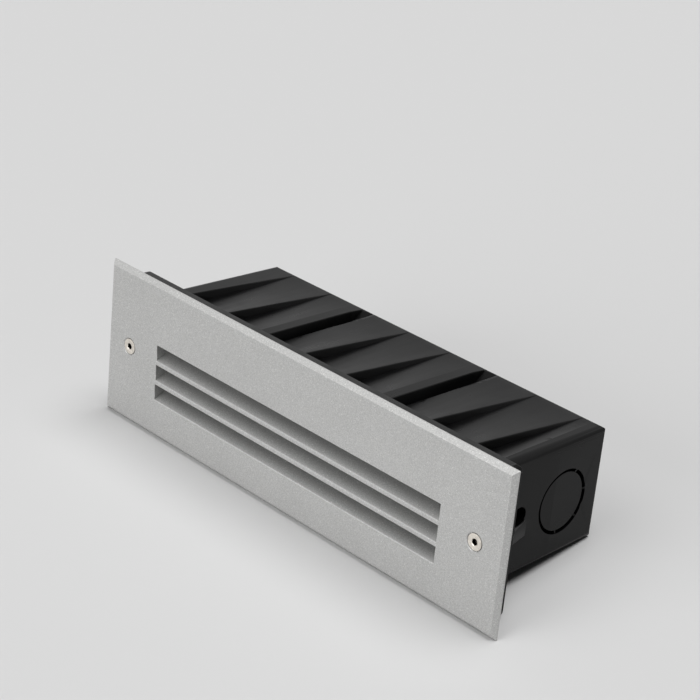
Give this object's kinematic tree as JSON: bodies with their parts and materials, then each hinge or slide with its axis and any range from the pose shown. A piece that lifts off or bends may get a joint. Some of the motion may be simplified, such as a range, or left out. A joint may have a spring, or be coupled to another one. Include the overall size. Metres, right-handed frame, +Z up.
{
  "type": "recessed step light",
  "caption": "Brick-size recessed step light: a louvred metal faceplate with a sealed lamp housing that slides into a ribbed plastic mounting box.",
  "frame": {"origin": "on the wall plane, which is the back of the faceplate, at the middle of the faceplate's width and height", "axes": "+X to the right seen from the front, +Y into the wall, +Z up"},
  "size_m": [0.23, 0.0762, 0.069],
  "materials": {
    "box_plastic": "black moulded plastic, satin",
    "insert_brass": "turned",
    "plate_coat": "silver-grey powder coat with a fine sparkle on die-cast aluminium",
    "seal_rubber": "matt",
    "washer_nylon": "natural nylon",
    "screw_stainless": "stainless, satin",
    "cast_housing": "as cast, bead blasted",
    "small_screw_steel": "zinc plated",
    "frosted_pane": "frosted",
    "pane_silicone": "translucent silicone",
    "reflector_white": "white, gloss",
    "board_white": "white solder mask",
    "diode_yellow": "phosphor",
    "pad_blue": "soft",
    "driver_plastic": "moulded",
    "lead_red": "silicone insulation",
    "terminal_plastic": "moulded",
    "terminal_brass": "turned",
    "tinned_tag": "tinned",
    "earth_green": "green passivated",
    "gland_nickel": "nickel plated"
  },
  "bodies": {
    "back_box": {"mounting_box": "box_plastic", "threaded_inserts": "insert_brass"},
    "lamp_unit": {"faceplate": "plate_coat", "face_gasket": "seal_rubber", "retaining_washers": "washer_nylon", "lamp_housing": "cast_housing", "rim_gasket": "seal_rubber", "housing_screws": "small_screw_steel", "lamp_pane": "frosted_pane", "pane_seal": "pane_silicone", "reflector": "reflector_white", "lamp_board": "board_white", "diodes": "diode_yellow", "heat_pad": "pad_blue", "board_screws": "small_screw_steel", "driver": "driver_plastic", "driver_screws": "small_screw_steel", "lamp_leads": "lead_red", "lead_grommet": "seal_rubber", "terminal_block": "terminal_plastic", "terminal_screws": "terminal_brass", "earth_tag": "tinned_tag", "earth_screw": "earth_green", "rear_cover": "cast_housing", "cover_gasket": "seal_rubber", "cover_screws": "small_screw_steel", "gland_body": "gland_nickel", "gland_washer": "seal_rubber", "gland_locknut": "gland_nickel", "gland_seal": "seal_rubber"},
    "left_screw": {"fixing_screw_left": "screw_stainless"},
    "right_screw": {"fixing_screw_right": "screw_stainless"},
    "gland_cap": {"gland_nut": "gland_nickel"}
  },
  "joints": [
    {"name": "lamp_slide", "type": "slide", "parent": "back_box", "child": "lamp_unit", "axis": [0, -1, 0], "range_m": [0, 0.06]},
    {"name": "left_screw_turn", "type": "hinge", "parent": "lamp_unit", "child": "left_screw", "pos_m": [-0.1003, 0, 0], "axis": [0, -1, 0], "continuous": true},
    {"name": "right_screw_turn", "type": "hinge", "parent": "lamp_unit", "child": "right_screw", "pos_m": [0.1003, 0, 0], "axis": [0, -1, 0], "continuous": true},
    {"name": "gland_nut_turn", "type": "hinge", "parent": "lamp_unit", "child": "gland_cap", "pos_m": [0.055, 0.04025, 0], "axis": [1, 0, 0], "continuous": true}
  ]
}
